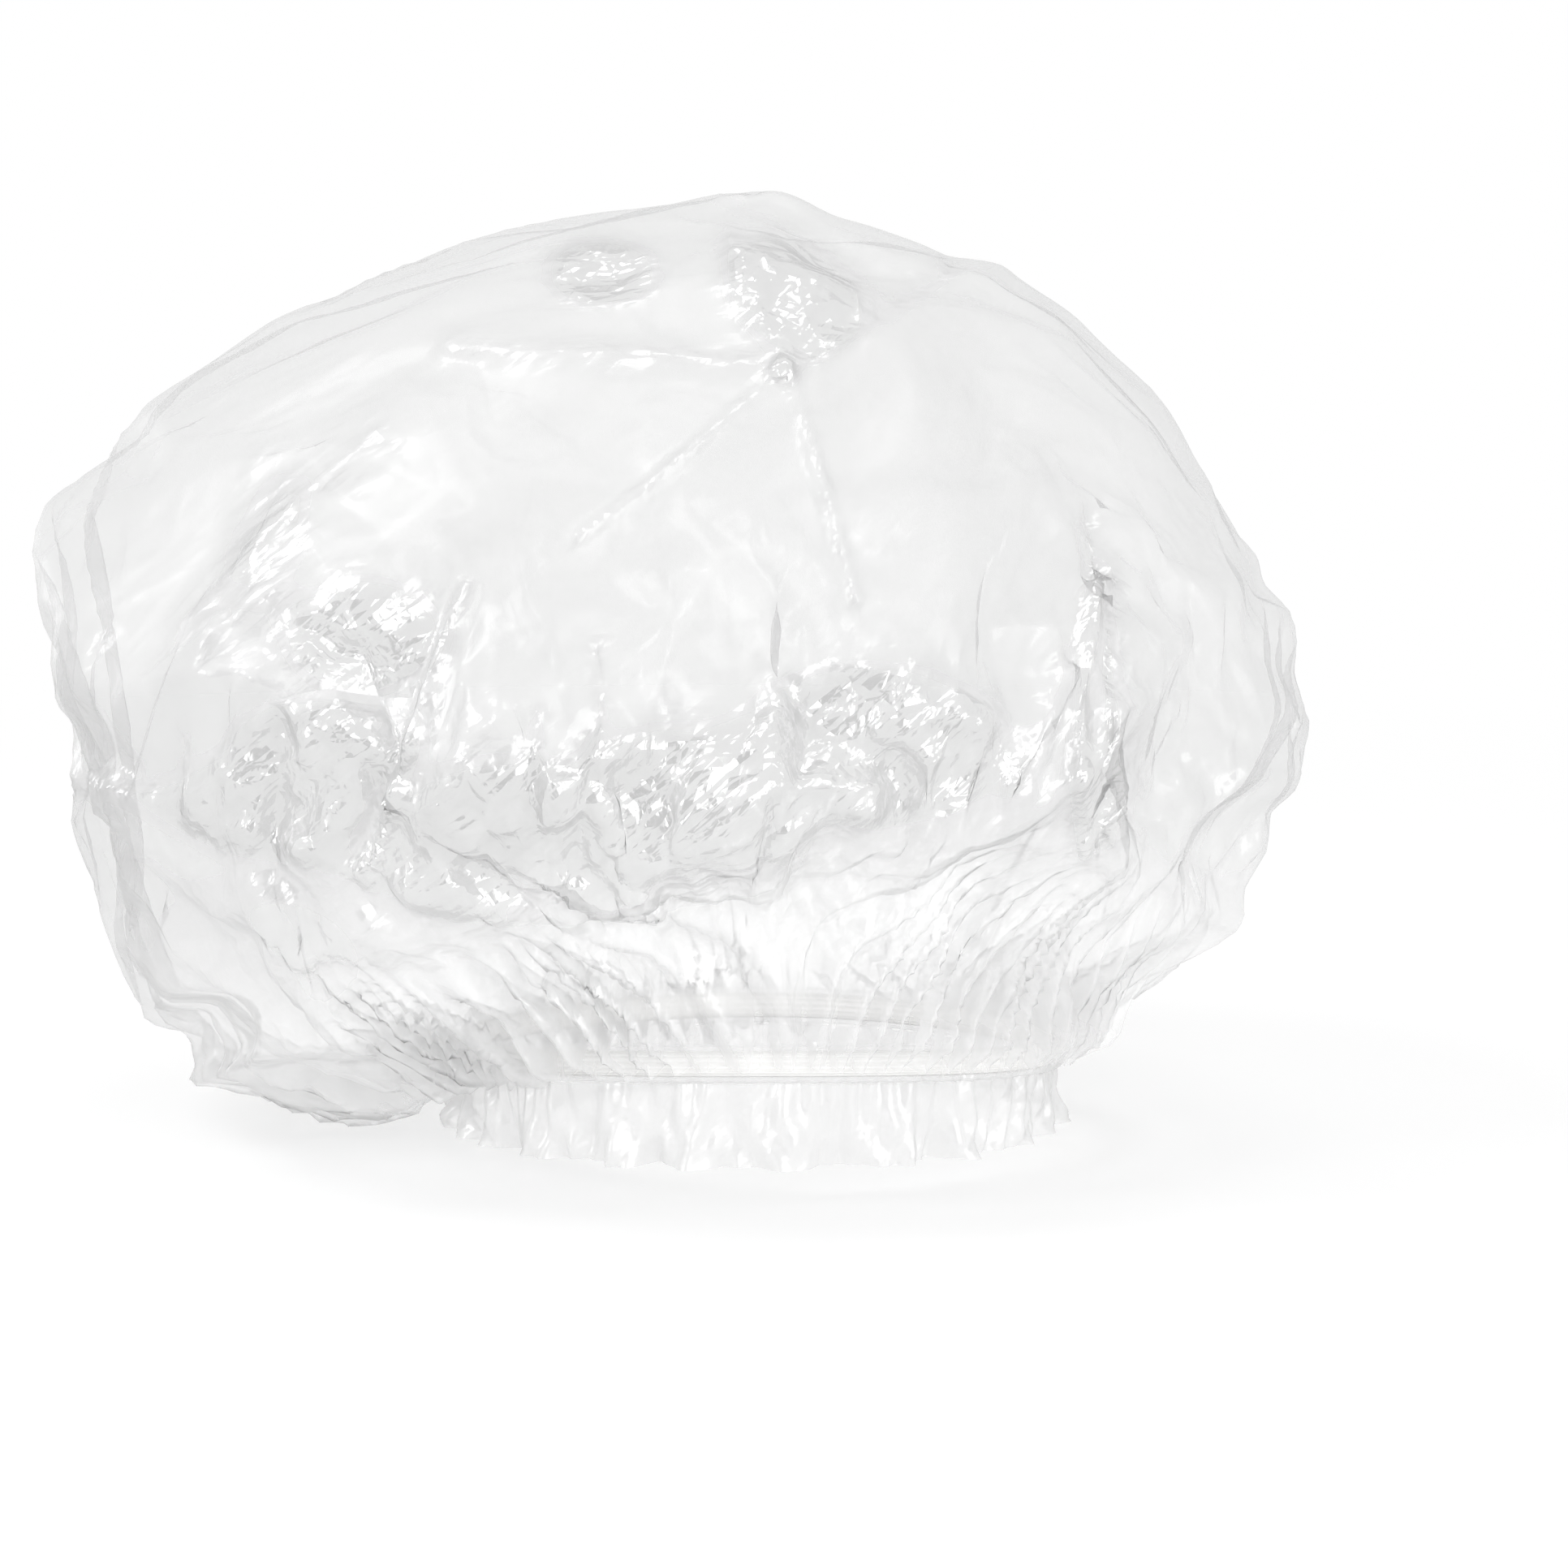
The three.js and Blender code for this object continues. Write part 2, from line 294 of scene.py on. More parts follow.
def pleats(angle):
    """The gathers that the elastic draws, unevenly spaced, from -1 to 1. They run on through the casing and frill."""
    return np.cos(GATHERS * angle + sum(size * np.sin(wave * angle + start) for wave, size, start in pleat_waves))


depth = radius / GATHERS * np.sqrt((spare ** 2 - 1) / 0.45) * rise(spare, 1.9, 3.4)
inside = rise(1 - np.hypot(*flat.T), 0, 0.06)
depth = np.minimum(depth, RIM_DEPTH + 0.0045 * inside)
fan = 0.9 * np.sin(3 * angle + 1.2) + 0.7 * np.sin(5 * angle + 4)
fuller = 1 + 0.3 * np.sin(7 * angle + 2) * np.sin(12 * angle)
ripple = depth * fuller * (pleats(angle + fan * (1 - share)) + 1 - inside)
set_points(film, get_points(film) + get_normals(film) * ripple[:, None])
low = rise(share, 0.36, 0.60) * (1 - rise(share, 0.85, 0.95))
crumple(film, 0.002 + 0.09 * low * (1 - calm(film)), 0.5, 15, 0.003)
refine(film, "SIMPLE")


def crease(piece, line, half_width, height):
    """Raises a sharp, broken ridge, or sinks a valley, along a line of photograph pixels on the side that faces
    the camera, and gives how far each point takes part in it."""
    points = get_points(piece)
    normals = get_normals(piece)
    seen = on_photo(points)
    nearest = np.full(len(points), 1e9)
    run = np.zeros(len(points))
    passed = 0
    for start, end in zip(np.array(line[:-1], float), np.array(line[1:], float)):
        length = np.linalg.norm(end - start)
        along = np.clip((seen - start) @ (end - start) / length ** 2, 0, 1)
        away = np.linalg.norm(seen - start - along[:, None] * (end - start), axis=1)
        run = np.where(away < nearest, passed + along * length, run)
        nearest = np.minimum(nearest, away)
        passed += length
    marks = np.arange(0, passed + FLUTTER, FLUTTER)
    broken = np.interp(run, marks, rng.uniform(0.7, 1.1, len(marks)))
    tent = np.clip(1 - nearest / half_width, 0, 1) ** 1.3
    facing = rise(-(normals @ np.array(view_forward)), 0.0, 0.3)
    set_points(piece, points + normals * (height * broken * tent * facing)[:, None])
    return tent * facing


def facets(piece, spacing, depth, amount):
    """Breaks the film into flat facets with sharp edges between them, as film that was crushed has."""
    half = FLAT_SIZE / 2
    rows = np.arange(-half - spacing, half + 2 * spacing, spacing)
    knots = np.stack(np.meshgrid(rows, rows), -1).reshape(-1, 2)
    knots = knots + rng.uniform(-0.48, 0.48, knots.shape) * spacing
    heights = rng.uniform(-depth, depth, len(knots))
    net = delaunay_2d_cdt([Vector(k) for k in knots], [], [], 0, 1e-9)
    order = [old[0] for old in net[3]]
    steps = np.linspace(-half, half, FACET_CELLS)
    drawn = np.zeros((FACET_CELLS, FACET_CELLS))
    for face in net[2]:
        a, b, c = (knots[order[k]] for k in face)
        side = np.stack([b - a, c - a], 1)
        if abs(np.linalg.det(side)) < 1e-12:
            continue
        x0, x1 = np.searchsorted(steps, (min(a[0], b[0], c[0]), max(a[0], b[0], c[0])))
        y0, y1 = np.searchsorted(steps, (min(a[1], b[1], c[1]), max(a[1], b[1], c[1])))
        x, y = np.meshgrid(steps[x0:x1], steps[y0:y1], indexing="ij")
        to_part = np.linalg.inv(side)
        u = to_part[0, 0] * (x - a[0]) + to_part[0, 1] * (y - a[1])
        v = to_part[1, 0] * (x - a[0]) + to_part[1, 1] * (y - a[1])
        inside = (u >= -1e-9) & (v >= -1e-9) & (u + v <= 1 + 1e-9)
        ha, hb, hc = (heights[order[k]] for k in face)
        drawn[x0:x1, y0:y1][inside] = (ha + u * (hb - ha) + v * (hc - ha))[inside]
    place = (get_flat(piece) * 0.999 + 1) / 2 * (FACET_CELLS - 1)
    cell = np.clip(place.astype(int), 0, FACET_CELLS - 2)
    s, t = (place - cell).T
    i, j = cell.T
    height = (1 - s) * (1 - t) * drawn[i, j] + s * (1 - t) * drawn[i + 1, j]
    height = height + (1 - s) * t * drawn[i, j + 1] + s * t * drawn[i + 1, j + 1]
    set_points(piece, get_points(piece) + get_normals(piece) * (height * amount)[:, None])


def crinkles(piece, count, length, half_width, depth, amount):
    """Short straight ridges and valleys, scattered over the round."""
    flat = get_flat(piece) * FLAT_SIZE / 2
    height = np.zeros(len(flat))
    for _ in range(count):
        out = FLAT_SIZE / 2 * rng.uniform(0, 1) ** 0.5
        turn = rng.uniform(0, 2 * pi)
        way = rng.uniform(0, pi)
        reach = length * rng.uniform(0.4, 1.6)
        tall = depth * rng.uniform(0.4, 1) * rng.choice((-1, 1))
        x = flat[:, 0] - out * cos(turn)
        y = flat[:, 1] - out * sin(turn)
        tent = np.clip(1 - np.abs(y * cos(way) - x * sin(way)) / half_width, 0, 1)
        height += tall * tent * np.clip(1.5 - 1.5 * np.abs(x * cos(way) + y * sin(way)) / reach, 0, 1)
    set_points(piece, get_points(piece) + get_normals(piece) * (height * amount)[:, None])


# Crushed patches: all round where the film is widest and below, and on the front where the glints are.
angle, share, arc = profile_shares(get_flat(film))
seen = on_photo(get_points(film))
front_side = rise(-(get_normals(film) @ np.array(view_forward)), 0.0, 0.3)
patches = zone(seen, (1075, 910), (190, 110)) + zone(seen, (850, 1000), (170, 120))
patches = patches + zone(seen, (450, 780), (110, 80)) + zone(seen, (400, 920), (120, 60))
patches = patches + zone(seen, (740, 330), (80, 50)) + zone(seen, (980, 350), (100, 90))
patches = patches + 0.7 * zone(seen, (630, 1030), (150, 100)) + 0.6 * zone(seen, (320, 990), (140, 70))
patches = patches + 0.4 * zone(seen, (1360, 880), (60, 170)) + 0.5 * zone(seen, (330, 660), (60, 130))
patches = patches + 0.3 * zone(seen, (300, 1190), (190, 120))
# This crush weight also paints the film's veil colour darker in its material: painted shade in the crushed patches.
crushed_with_painted_shade = np.clip(0.15 * rise(share, 0.38, 0.56) + (0.3 * rise(share, 0.42, 0.6) + np.clip(patches, 0, 1)) * front_side, 0, 1)
crushed_with_painted_shade = crushed_with_painted_shade * (1 - rise(share, 0.88, 0.97))
sides = rise(np.abs(np.cos(angle)), 0.7, 0.97)
crushed_with_painted_shade = crushed_with_painted_shade * (1 - 0.6 * sides)
rough = (1 - 0.75 * calm(film)) * (1 - 0.5 * sides)
facets(film, 0.055, 0.0028, (1 - rise(share, 0.5, 0.7)) * rough)
facets(film, 0.022, 0.0018, (0.25 + 0.75 * crushed_with_painted_shade) * rough)
facets(film, 0.010, 0.0014, (0.08 + 0.92 * crushed_with_painted_shade) * rough)
crinkles(film, 420, 0.030, 0.0036, 0.0005, (0.25 + 0.75 * np.maximum(crushed_with_painted_shade, rise(share, 0.3, 0.5))) * rough)
crinkles(film, 700, 0.014, 0.0030, 0.0004, (0.15 + 0.85 * np.maximum(crushed_with_painted_shade, rise(share, 0.4, 0.55))) * rough)

# The film hangs in two lobes at the lower left, with a notch between them.
NOTCH = (248, 1282)
LOBE = (410, 1395)
PUFF_CENTRE = (-0.015, 0, 0.075)
points = get_points(film)
pulled = zone(on_photo(points), NOTCH, (62, 58))[:, None]
points = points * (1 - NOTCH_PULL * pulled) + pulled * np.array((0, 0, NOTCH_LIFT))
points[:, 2] += LOBE_LIFT * zone(on_photo(points), LOBE, (230, 90)) * (1 - rise(share, 0.85, 0.95))
set_points(film, points)

# Its outline is fuller than the plain puffed form at the shoulders, and flatter beside them and at the sides.
seen = on_photo(points)
push = 0.0018 * zone(seen, (1380, 450), (160, 130)) - 0.0010 * zone(seen, (480, 330), (160, 90))
push = push - 0.0040 * zone(seen, (1100, 275), (150, 80)) - 0.0042 * zone(seen, (1620, 765), (90, 110))
push = push - 0.0046 * zone(seen, (1570, 1055), (110, 80)) - 0.0032 * zone(seen, (80, 935), (60, 70))
push = push - 0.0020 * zone(seen, (125, 560), (80, 70))
outward = points - np.array(PUFF_CENTRE)
outward = outward / np.linalg.norm(outward, axis=1, keepdims=True)
set_points(film, points + outward * push[:, None])

# The creases that show most: a star on the crown where the packing folds cross, a standing pleat at the left,
# a pinch at the right with folds that fan down from it, and the turn where the film tucks in over the hem.
STAR = (968, 455)
along_creases = np.zeros(len(crushed_with_painted_shade))
along_creases += 0.7 * crease(film, (STAR, (880, 530), (800, 600), (710, 665)), 17, 0.0011)
along_creases += 0.7 * crease(film, (STAR, (990, 520), (1020, 620), (1055, 740)), 17, 0.0011)
along_creases += crease(film, (STAR, (930, 380), (900, 300)), 30, 0.0014)
along_creases += crease(film, (STAR, (800, 440), (560, 430)), 34, 0.0009)
along_creases += crease(film, (STAR, (1080, 390), (1170, 330)), 30, -0.0014)
along_creases += 1.3 * crease(film, ((455, 1075), (490, 985), (530, 870), (575, 725)), 20, 0.0034)
along_creases += crease(film, ((1355, 640), (1360, 705)), 36, -0.0050)
along_creases += crease(film, ((1360, 705), (1300, 850), (1250, 970)), 34, 0.0030)
along_creases += crease(film, ((1350, 720), (1330, 880), (1335, 1050)), 20, 0.0018)
along_creases += crease(film, ((1372, 720), (1368, 900), (1362, 1040)), 18, -0.0018)
along_creases += crease(film, ((100, 960), (240, 1000), (455, 1075), (560, 1115), (800, 1120)), 40, 0.0025)
along_creases += crease(film, ((285, 982), (330, 962), (372, 935), (430, 902)), 16, 0.0015)
along_creases += crease(film, ((740, 800), (745, 880), (700, 1100)), 24, -0.0020)
along_creases += crease(film, ((662, 880), (650, 1000)), 22, -0.0018)
along_creases += crease(film, ((250, 770), (350, 640), (470, 540)), 55, 0.0022)
# Along the creases the weight rises too, so the veil there is painted darker as well: painted shade.
crushed_with_painted_shade = np.clip(crushed_with_painted_shade + 0.4 * along_creases, 0, 1)
bpy.ops.object.select_all(action="DESELECT")
film.select_set(True)
bpy.ops.object.shade_smooth()
film.vertex_groups.clear()


def mark(piece, name, values):
    piece.data.attributes.new(name, "FLOAT", "POINT").data.foreach_set("value", values.astype(np.float32))


mark(film, "crushed_with_painted_shade", crushed_with_painted_shade)
# Painted light: this weight makes the veil colour lighter towards the hem.
mark(film, "gathered_painted_lighter", rise(share, 0.60, 0.85))


def film_finish(name, haze, edge_haze):
    """Clear film: mostly see-through, with a grey veil that thickens at the edges, and a gloss of the lights. The
    veil's colour is painted darker where the film is crushed or creased (painted shade) and lighter towards the hem
    (painted light).
    """
    finish = bpy.data.materials.new(name)
    finish.use_nodes = True
    nodes = finish.node_tree.nodes
    links = finish.node_tree.links
    nodes.clear()
    place = nodes.new("ShaderNodeTexCoord")
    warp = nodes.new("ShaderNodeTexNoise")
    warp.inputs["Scale"].default_value = 60
    links.new(place.outputs["Object"], warp.inputs["Vector"])
    warp_by = nodes.new("ShaderNodeVectorMath")
    warp_by.operation = "MULTIPLY_ADD"
    warp_by.inputs[1].default_value = (0.003, 0.003, 0.003)
    links.new(warp.outputs["Color"], warp_by.inputs[0])
    slanted = nodes.new("ShaderNodeMapping")
    slanted.vector_type = "TEXTURE"
    slanted.inputs["Rotation"].default_value = (0, radians(-40), 0)
    slanted.inputs["Scale"].default_value = (2.2, 1, 1)
    links.new(place.outputs["Object"], slanted.inputs["Vector"])
    links.new(slanted.outputs["Vector"], warp_by.inputs[2])
    crushed_painted_shade_here = nodes.new("ShaderNodeAttribute")
    crushed_painted_shade_here.attribute_name = "crushed_with_painted_shade"
    flakes = nodes.new("ShaderNodeTexVoronoi")
    flakes.distance = "MANHATTAN"
    flakes.inputs["Scale"].default_value = 55
    flakes.inputs["Detail"].default_value = 2
    flakes.inputs["Roughness"].default_value = 0.36
    flakes.inputs["Lacunarity"].default_value = 2.6
    links.new(warp_by.outputs["Vector"], flakes.inputs["Vector"])
    flake_size = nodes.new("ShaderNodeMapRange")
    flake_size.inputs["To Min"].default_value = 0.0004
    flake_size.inputs["To Max"].default_value = 0.0026
    links.new(crushed_painted_shade_here.outputs["Fac"], flake_size.inputs["Value"])
    flake_height = nodes.new("ShaderNodeMath")
    flake_height.operation = "MULTIPLY"
    links.new(flakes.outputs["Distance"], flake_height.inputs[0])
    links.new(flake_size.outputs["Result"], flake_height.inputs[1])
    bump = nodes.new("ShaderNodeBump")
    bump.inputs["Strength"].default_value = 1.0
    bump.inputs["Distance"].default_value = 1.0
    links.new(flake_height.outputs[0], bump.inputs["Height"])
    facing = nodes.new("ShaderNodeLayerWeight")
    facing.inputs["Blend"].default_value = 0.5
    edge = nodes.new("ShaderNodeMath")
    edge.operation = "POWER"
    edge.inputs[1].default_value = 3
    links.new(facing.outputs["Facing"], edge.inputs[0])
    veil = nodes.new("ShaderNodeMapRange")
    veil.inputs["To Min"].default_value = haze
    veil.inputs["To Max"].default_value = edge_haze
    links.new(edge.outputs[0], veil.inputs["Value"])
    thicker = nodes.new("ShaderNodeMath")
    thicker.operation = "MULTIPLY_ADD"
    thicker.inputs[1].default_value = 0.22
    links.new(crushed_painted_shade_here.outputs["Fac"], thicker.inputs[0])
    links.new(veil.outputs["Result"], thicker.inputs[2])
    shine = nodes.new("ShaderNodeMapRange")
    shine.inputs["To Min"].default_value = 0.055
    shine.inputs["To Max"].default_value = 0.15
    links.new(edge.outputs[0], shine.inputs["Value"])
    shinier = nodes.new("ShaderNodeMath")
    shinier.operation = "MULTIPLY_ADD"
    shinier.inputs[1].default_value = 0.07
    links.new(crushed_painted_shade_here.outputs["Fac"], shinier.inputs[0])
    links.new(shine.outputs["Result"], shinier.inputs[2])
    clear = nodes.new("ShaderNodeBsdfTransparent")
    milk = nodes.new("ShaderNodeBsdfDiffuse")
    near_hem = nodes.new("ShaderNodeAttribute")
    near_hem.attribute_name = "gathered_painted_lighter"
    # Painted shade: the veil colour is darker where the film is crushed or creased, for the dark grey between the
    # glints.
    crush_painted_shade = nodes.new("ShaderNodeMix")
    crush_painted_shade.data_type = "RGBA"
    crush_painted_shade.inputs["A"].default_value = (0.545, 0.545, 0.545, 1)
    crush_painted_shade.inputs["B"].default_value = (0.45, 0.45, 0.45, 1)
    links.new(crushed_painted_shade_here.outputs["Fac"], crush_painted_shade.inputs["Factor"])
    # Painted light: towards the hem, and on the casing and frill, the veil colour is lighter, which offsets the shade
    # where the film's layers overlap.
    milk_colour = nodes.new("ShaderNodeMix")
    milk_colour.data_type = "RGBA"
    milk_colour.inputs["B"].default_value = (0.87, 0.87, 0.87, 1)
    links.new(crush_painted_shade.outputs["Result"], milk_colour.inputs["A"])
    links.new(near_hem.outputs["Fac"], milk_colour.inputs["Factor"])
    links.new(milk_colour.outputs["Result"], milk.inputs["Color"])
    links.new(bump.outputs["Normal"], milk.inputs["Normal"])
    gloss = nodes.new("ShaderNodeBsdfGlossy")
    satin = nodes.new("ShaderNodeMapRange")
    satin.inputs["To Min"].default_value = 0.46
    satin.inputs["To Max"].default_value = 0.18
    links.new(crushed_painted_shade_here.outputs["Fac"], satin.inputs["Value"])
    links.new(satin.outputs["Result"], gloss.inputs["Roughness"])
    links.new(bump.outputs["Normal"], gloss.inputs["Normal"])
    body = nodes.new("ShaderNodeMixShader")
    links.new(thicker.outputs[0], body.inputs["Fac"])
    links.new(clear.outputs[0], body.inputs[1])
    links.new(milk.outputs[0], body.inputs[2])
    whole = nodes.new("ShaderNodeMixShader")
    links.new(shinier.outputs[0], whole.inputs["Fac"])
    links.new(body.outputs[0], whole.inputs[1])
    links.new(gloss.outputs[0], whole.inputs[2])
    glint = nodes.new("ShaderNodeBsdfGlossy")
    glint.inputs["Roughness"].default_value = 0.09
    links.new(bump.outputs["Normal"], glint.inputs["Normal"])
    sparkle = nodes.new("ShaderNodeMapRange")
    sparkle.inputs["To Min"].default_value = 0.0
    sparkle.inputs["To Max"].default_value = 0.12
    links.new(crushed_painted_shade_here.outputs["Fac"], sparkle.inputs["Value"])
    sparkling = nodes.new("ShaderNodeMixShader")
    links.new(sparkle.outputs["Result"], sparkling.inputs["Fac"])
    links.new(whole.outputs[0], sparkling.inputs[1])
    links.new(glint.outputs[0], sparkling.inputs[2])
    output = nodes.new("ShaderNodeOutputMaterial")
    links.new(sparkling.outputs[0], output.inputs["Surface"])
    return finish


film.data.materials.clear()
film.data.materials.append(film_finish("clear film", 0.23, 0.30))
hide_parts("crown_film_left", "crown_film_right")
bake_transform(film)

# Hem casing: the rim of the round, folded over and sealed into a narrow tube, which the elastic draws into
# the same gathers as the film above it.
HEM_RADIUS = 0.057
CASING_WIDTH = 0.0068
CASING_THICKNESS = 0.0030
CRIMP_DEPTH = 0.0016
bpy.ops.mesh.primitive_torus_add(
    major_radius=HEM_RADIUS, minor_radius=CASING_WIDTH / 2, major_segments=600, minor_segments=14
)
casing = bpy.context.object
casing.name = "hem_casing"
ring = get_points(casing)
angle = np.arctan2(ring[:, 1], ring[:, 0])
across = (np.hypot(ring[:, 0], ring[:, 1]) - HEM_RADIUS) / (CASING_WIDTH / 2)
up = ring[:, 2] / (CASING_WIDTH / 2)
crimp = (1 + pleats(angle)) / 2
thick = CASING_THICKNESS / 2 * np.sign(across) * np.abs(across) ** 0.6
radius = HEM_RADIUS + thick + CRIMP_DEPTH * crimp * across
height = hem_height(angle) + up * CASING_WIDTH / 2 * (1 + 0.05 * crimp)
set_points(casing, np.stack([radius * np.cos(angle), radius * np.sin(angle), height], 1))
bpy.ops.object.shade_smooth()
gathered_painted_lighter = film_finish("gathered film", 0.22, 0.40)
casing.data.materials.append(gathered_painted_lighter)
# Painted light: the casing's veil colour is lighter in full.
mark(casing, "gathered_painted_lighter", np.ones(len(ring)))
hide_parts("hem_casing_left", "hem_casing_right")
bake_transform(casing)
bpy.ops.object.select_all(action="DESELECT")

# Elastic: one loop of flat off-white strip, which lies loose inside the casing and draws the hem in.
ELASTIC_WIDTH = 0.005
ELASTIC_THICKNESS = 0.0012
bpy.ops.mesh.primitive_torus_add(
    major_radius=HEM_RADIUS, minor_radius=ELASTIC_WIDTH / 2, major_segments=360, minor_segments=16
)
elastic = bpy.context.object
elastic.name = "elastic_band"
ring = get_points(elastic)
angle = np.arctan2(ring[:, 1], ring[:, 0])
across = (np.hypot(ring[:, 0], ring[:, 1]) - HEM_RADIUS) / (ELASTIC_WIDTH / 2)
up = ring[:, 2] / (ELASTIC_WIDTH / 2)
radius = HEM_RADIUS + ELASTIC_THICKNESS / 2 * np.sign(across) * np.abs(across) ** 0.35
height = hem_height(angle) + ELASTIC_WIDTH / 2 * np.sign(up) * np.abs(up) ** 0.8
set_points(elastic, np.stack([radius * np.cos(angle), radius * np.sin(angle), height], 1))
bpy.ops.object.shade_smooth()
strip = bpy.data.materials.new("off-white elastic")
strip.use_nodes = True
strip_shader = strip.node_tree.nodes["Principled BSDF"]
strip_shader.inputs["Roughness"].default_value = 0.7
strip_nodes = strip.node_tree.nodes
strip_links = strip.node_tree.links
strip_map = strip_nodes.new("ShaderNodeTexCoord")
ribs = strip_nodes.new("ShaderNodeTexWave")
ribs.bands_direction = "Y"
ribs.inputs["Scale"].default_value = 5
ribs.inputs["Distortion"].default_value = 0.6
strip_links.new(strip_map.outputs["UV"], ribs.inputs["Vector"])
rib_colour = strip_nodes.new("ShaderNodeMix")
rib_colour.data_type = "RGBA"
rib_colour.inputs["A"].default_value = (0.89, 0.885, 0.87, 1)
rib_colour.inputs["B"].default_value = (0.96, 0.955, 0.945, 1)
strip_links.new(ribs.outputs["Fac"], rib_colour.inputs["Factor"])
strip_links.new(rib_colour.outputs["Result"], strip_shader.inputs["Base Color"])
rib_bump = strip_nodes.new("ShaderNodeBump")
rib_bump.inputs["Distance"].default_value = 0.0002
strip_links.new(ribs.outputs["Fac"], rib_bump.inputs["Height"])
strip_links.new(rib_bump.outputs["Normal"], strip_shader.inputs["Normal"])
elastic.data.materials.append(strip)
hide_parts("elastic_band_left", "elastic_band_right")
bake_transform(elastic)
bpy.ops.object.select_all(action="DESELECT")

# Hem frill: the free edge of the round below the casing. It flares and ruffles, and hangs lower at the front.
FRILL_HEIGHT = 0.009
FRILL_FRONT_DROP = 0.007
FRILL_SWING = 0.003
FRILL_RUFFLES = 22
FRILL_CREASES = 6
FRILL_CREASE_DEPTH = 0.0006
SEAM_GAP = 0.0003
bpy.ops.mesh.primitive_grid_add(x_subdivisions=528, y_subdivisions=14, size=2)
frill = bpy.context.object
frill.name = "hem_frill"
net = get_points(frill)
angle = net[:, 0] * pi
down = (1 - net[:, 1]) / 2
front = ((1 - np.sin(angle)) / 2) ** 2
wander = 0
for wave in (2, 3, 5, 7):
    wander = wander + rng.uniform(0.3, 0.9) * np.sin(wave * angle + rng.uniform(0, 2 * pi))
uneven = 0.65 + 0.35 * np.sin(3 * angle + wander)
ruffle = FRILL_SWING * down * uneven * np.cos(FRILL_RUFFLES * angle + wander)
ruffle = ruffle + CRIMP_DEPTH * (0.45 - 0.4 * down) * pleats(angle)
for _ in range(FRILL_CREASES):
    turns, lean, start = rng.uniform(30, 90), rng.uniform(-9, 9), rng.uniform(0, 2 * pi)
    ruffle = ruffle + FRILL_CREASE_DEPTH * down * creased(np.round(turns) * angle + lean * down + start)
radius = HEM_RADIUS + ruffle
drop = down * (FRILL_HEIGHT + FRILL_FRONT_DROP * front)
height = hem_height(angle) - CASING_WIDTH / 2 - SEAM_GAP - drop
set_points(frill, np.stack([radius * np.cos(angle), radius * np.sin(angle), height], 1))
bpy.ops.object.mode_set(mode="EDIT")
bpy.ops.mesh.select_all(action="SELECT")
bpy.ops.mesh.remove_doubles(threshold=1e-6)
bpy.ops.object.mode_set(mode="OBJECT")
bpy.ops.object.shade_smooth()
frill.data.materials.append(gathered_painted_lighter)
# The frill's veil is painted partly lighter, as near the hem (painted light). It also takes part of the crushed finish,
# whose darker veil colour is painted shade.
mark(frill, "gathered_painted_lighter", np.full(len(frill.data.vertices), 0.6))
mark(frill, "crushed_with_painted_shade", np.full(len(frill.data.vertices), 0.35))
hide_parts("hem_frill_left", "hem_frill_right")
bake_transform(frill)
bpy.ops.object.select_all(action="DESELECT")

# Floor: a plain white studio sweep under the cap, which keeps its soft shadow.
FLOOR_GAP = 0.0003
floor_z = float(get_points(film)[:, 2].min()) - FLOOR_GAP
floor_z = min(floor_z, float(get_points(frill)[:, 2].min()) - FLOOR_GAP)
bpy.ops.mesh.primitive_plane_add(size=8, location=(0, 0, floor_z))
floor = bpy.context.object
floor.name = "floor"
sweep = bpy.data.materials.new("white sweep")
sweep.use_nodes = True
sweep_nodes = sweep.node_tree.nodes
sweep_links = sweep.node_tree.links
sweep_nodes.clear()


def seen_directly(nodes, links):
    """1 for what the camera sees, by itself, in a gloss or through something clear; 0 for the light that spreads."""
    path = nodes.new("ShaderNodeLightPath")
    gloss = nodes.new("ShaderNodeMath")
    links.new(path.outputs["Is Camera Ray"], gloss.inputs[0])
    links.new(path.outputs["Is Glossy Ray"], gloss.inputs[1])
    through = nodes.new("ShaderNodeMath")
    through.use_clamp = True
    links.new(gloss.outputs[0], through.inputs[0])
    links.new(path.outputs["Is Transmission Ray"], through.inputs[1])
    return through.outputs[0]


paint = sweep_nodes.new("ShaderNodeBsdfDiffuse")
paint.inputs["Color"].default_value = (0.85, 0.85, 0.85, 1)
glow = sweep_nodes.new("ShaderNodeEmission")
glow.inputs["Color"].default_value = (1, 1, 1, 1)
spot = sweep_nodes.new("ShaderNodeTexCoord")
away = sweep_nodes.new("ShaderNodeVectorMath")
away.operation = "LENGTH"
sweep_links.new(spot.outputs["Object"], away.inputs[0])
whiter = sweep_nodes.new("ShaderNodeMapRange")
whiter.inputs["From Min"].default_value = 0.15
whiter.inputs["From Max"].default_value = 0.6
whiter.inputs["To Min"].default_value = 0.5
whiter.inputs["To Max"].default_value = 1.0
sweep_links.new(away.outputs["Value"], whiter.inputs["Value"])
share_seen = sweep_nodes.new("ShaderNodeMath")
share_seen.operation = "MULTIPLY"
sweep_links.new(whiter.outputs["Result"], share_seen.inputs[1])
sweep_links.new(seen_directly(sweep_nodes, sweep_links), share_seen.inputs[0])
sweep_mix = sweep_nodes.new("ShaderNodeMixShader")
sweep_links.new(share_seen.outputs[0], sweep_mix.inputs["Fac"])
sweep_links.new(paint.outputs[0], sweep_mix.inputs[1])
sweep_links.new(glow.outputs[0], sweep_mix.inputs[2])
sweep_output = sweep_nodes.new("ShaderNodeOutputMaterial")
sweep_links.new(sweep_mix.outputs[0], sweep_output.inputs["Surface"])
floor.data.materials.append(sweep)

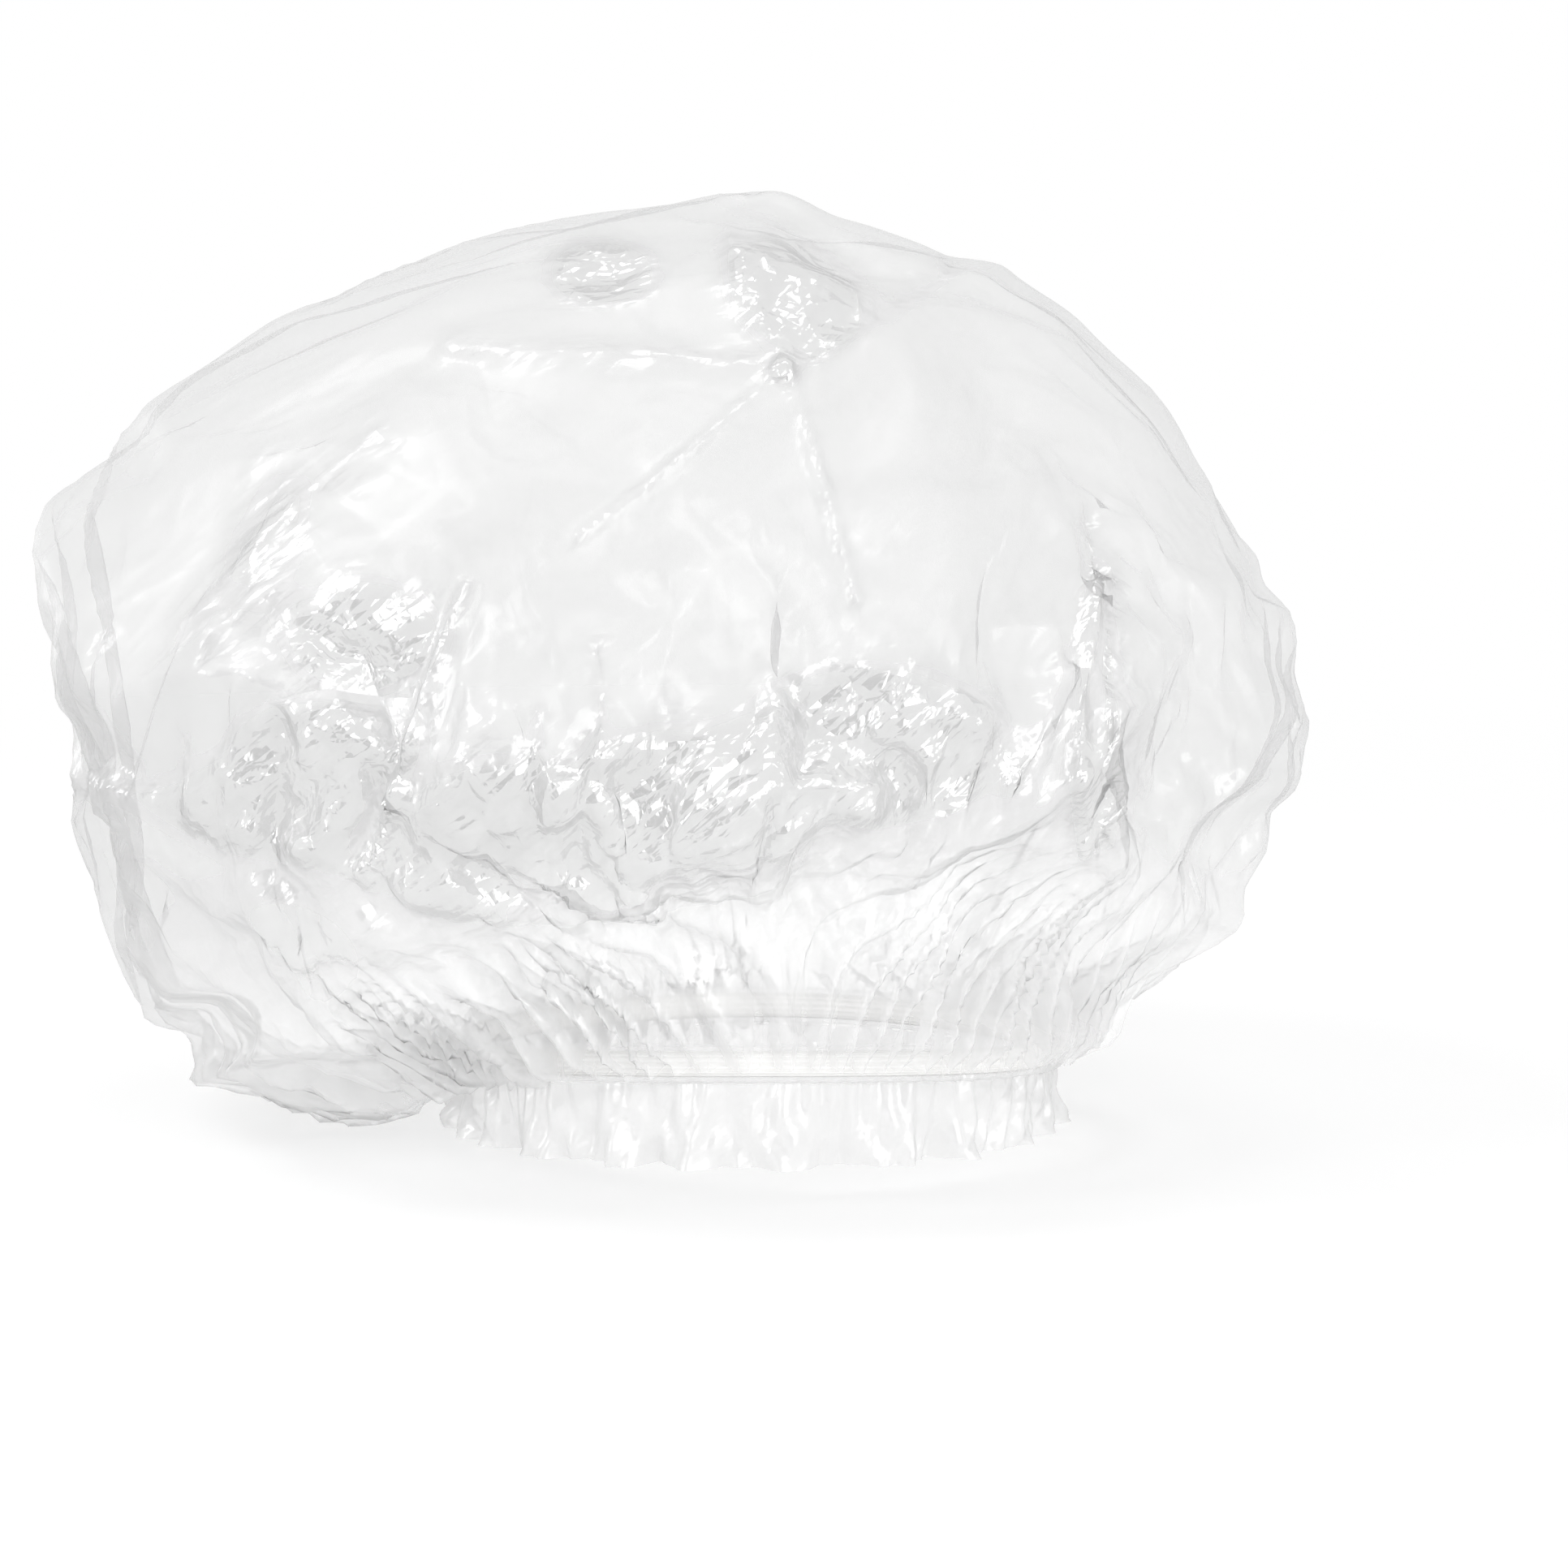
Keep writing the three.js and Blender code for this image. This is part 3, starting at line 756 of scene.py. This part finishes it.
# Light: a white surround, one large soft box from the upper left and two smaller ones that make the glints.
world = bpy.data.worlds.new("studio")
scene.world = world
world.use_nodes = True
world_nodes = world.node_tree.nodes
world_links = world.node_tree.links
world_nodes.clear()
dim = world_nodes.new("ShaderNodeBackground")
dim.inputs["Color"].default_value = (0.78, 0.78, 0.78, 1)
white = world_nodes.new("ShaderNodeBackground")
white.inputs["Color"].default_value = (1, 1, 1, 1)
world_mix = world_nodes.new("ShaderNodeMixShader")
world_links.new(seen_directly(world_nodes, world_links), world_mix.inputs["Fac"])
world_links.new(dim.outputs[0], world_mix.inputs[1])
world_links.new(white.outputs[0], world_mix.inputs[2])
world_output = world_nodes.new("ShaderNodeOutputWorld")
world_links.new(world_mix.outputs[0], world_output.inputs["Surface"])


def soft_box(name, place, size, power):
    bpy.ops.object.light_add(type="AREA", location=place)
    lamp = bpy.context.object
    lamp.name = name
    lamp.data.size = size
    lamp.data.energy = power
    lamp.visible_camera = False
    aim = Vector((-0.01, 0, 0.07)) - Vector(place)
    lamp.rotation_euler = aim.to_track_quat("-Z", "Y").to_euler()


soft_box("key", (-0.85, -0.25, 1.25), 0.5, 7)
soft_box("front right", (0.45, -1.3, 0.46), 0.8, 8)
soft_box("top", (0.1, 0.1, 1.5), 0.5, 3)
soft_box("low right", (1.0, -0.75, 0.3), 0.5, 2.5)
soft_box("left strip", (-1.2, -0.75, 0.4), 0.35, 3)
soft_box("back left", (-1.0, 1.1, 0.2), 0.4, 2)
bpy.ops.mesh.primitive_plane_add(size=1, location=(-0.1, -2.2, 0.5), rotation=(pi / 2, 0, 0))
flag = bpy.context.object
flag.name = "dark_flag"
flag.scale = (2.4, 1.0, 1)
bpy.ops.object.transform_apply(location=False, rotation=False, scale=True)
flag.visible_camera = False
flag.visible_diffuse = False
flag.visible_shadow = False
flag.visible_transmission = False
black = bpy.data.materials.new("black flag")
black.use_nodes = True
black.node_tree.nodes["Principled BSDF"].inputs["Base Color"].default_value = (0.02, 0.02, 0.02, 1)
black.node_tree.nodes["Principled BSDF"].inputs["Roughness"].default_value = 1.0
flag.data.materials.append(black)
bpy.ops.mesh.primitive_plane_add(size=1, location=(-0.5, -1.0, floor_z + FLOOR_GAP))
card = bpy.context.object
card.name = "floor_card"
card.scale = (0.9, 1.2, 1)
bpy.ops.object.transform_apply(location=False, rotation=False, scale=True)
card.visible_camera = False
card.visible_diffuse = False
card.visible_shadow = False
card.visible_transmission = False
card.data.materials.append(black)
scene.cycles.transparent_max_bounces = 64
